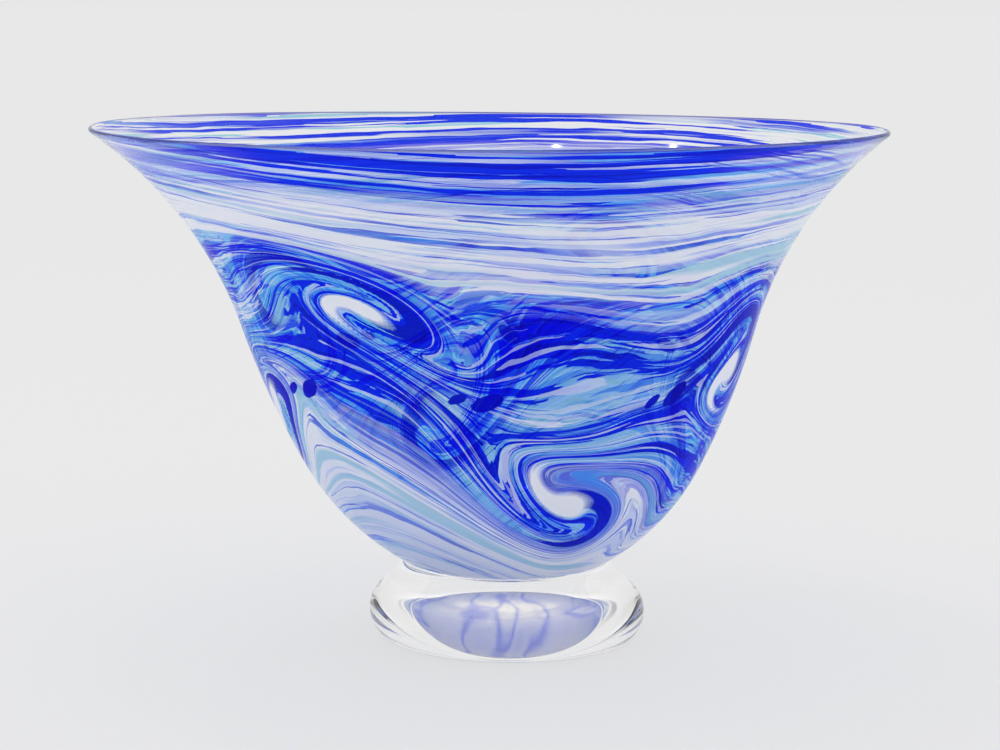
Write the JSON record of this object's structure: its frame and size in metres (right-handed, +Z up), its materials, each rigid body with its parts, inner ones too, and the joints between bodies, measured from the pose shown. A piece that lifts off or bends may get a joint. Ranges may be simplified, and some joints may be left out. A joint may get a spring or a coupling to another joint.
{
  "type": "footed glass bowl",
  "caption": "Blown-glass bowl with a flared rim, cobalt, white and aqua swirls in its outer coat, and a clear disc foot to stand on.",
  "frame": {"origin": "centre of the flat underside of the foot, where it meets the table", "axes": "+Z up along the bowl's axis; -Y is the side that the picture shows, with +X to its right"},
  "size_m": [0.28, 0.28, 0.184],
  "materials": {
    "clear_glass": "fire-polished clear",
    "cobalt_glass": "fire-polished, deep blue and partly see-through",
    "opal_glass": "fire-polished, milky white with lavender and aqua"
  },
  "bodies": {
    "root": {"foot": "clear_glass", "inner_gather": "clear_glass", "opal_cup": "opal_glass", "opal_shoulder": "opal_glass", "cobalt_belly": "cobalt_glass", "cobalt_collar": "cobalt_glass", "opal_eye_1": "opal_glass", "opal_eye_2": "opal_glass", "opal_eye_3": "opal_glass", "opal_eye_4": "opal_glass", "opal_eye_5": "opal_glass", "opal_eye_6": "opal_glass", "opal_eye_7": "opal_glass", "opal_eye_8": "opal_glass", "cobalt_chip_1": "cobalt_glass", "cobalt_chip_2": "cobalt_glass", "cobalt_chip_3": "cobalt_glass", "cobalt_chip_4": "cobalt_glass", "cobalt_chip_5": "cobalt_glass", "cobalt_chip_6": "cobalt_glass", "cobalt_chip_7": "cobalt_glass", "cobalt_chip_8": "cobalt_glass"}
  },
  "joints": []
}
